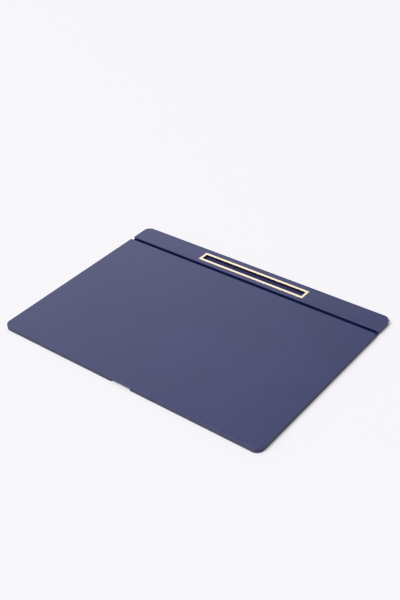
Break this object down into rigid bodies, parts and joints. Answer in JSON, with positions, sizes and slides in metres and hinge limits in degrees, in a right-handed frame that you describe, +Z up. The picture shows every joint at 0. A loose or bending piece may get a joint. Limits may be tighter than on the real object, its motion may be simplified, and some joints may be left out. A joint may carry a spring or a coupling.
{
  "type": "desk pad",
  "caption": "Leather desk pad whose lid lifts on a leather hinge over a document space, with a fixed rear rail that holds a metal-framed pen tray.",
  "frame": {"origin": "on the surface the pad lies on, below the centre of its outline", "axes": "+X along the width to the right, +Y towards the rear rail, +Z up"},
  "size_m": [0.49, 0.35, 0.0089],
  "materials": {
    "navy_leather": "smooth fine-grained leather with a soft sheen",
    "hinge_leather": "thin matt leather",
    "suede": "microfibre suede with a short nap",
    "tray_suede": "microfibre suede with a short nap",
    "gold_metal": "pale gold, satin polished",
    "board": "plain hardboard",
    "card": "plain grey card",
    "underlay": "thin felt"
  },
  "bodies": {
    "base": {"base_board": "board", "base_cover": "navy_leather", "notch_facing": "navy_leather", "base_lining": "suede", "underside_pad": "suede", "hinge_rail_leaf": "hinge_leather", "rail_board": "board", "rail_filler": "card", "rail_cover": "navy_leather", "tray_floor": "tray_suede", "tray_wall_lining": "hinge_leather", "pen_frame": "gold_metal", "frame_pins": "gold_metal"},
    "lid": {"lid_board": "board", "lid_underlay": "underlay", "lid_cover": "navy_leather", "lid_lining": "suede", "hinge_lid_leaf": "hinge_leather"}
  },
  "joints": [
    {"name": "lid_hinge", "type": "hinge", "parent": "base", "child": "lid", "pos_m": [0, 0.1285, 0.0046], "axis": [-1, 0, 0], "range_deg": [0, 105]}
  ]
}
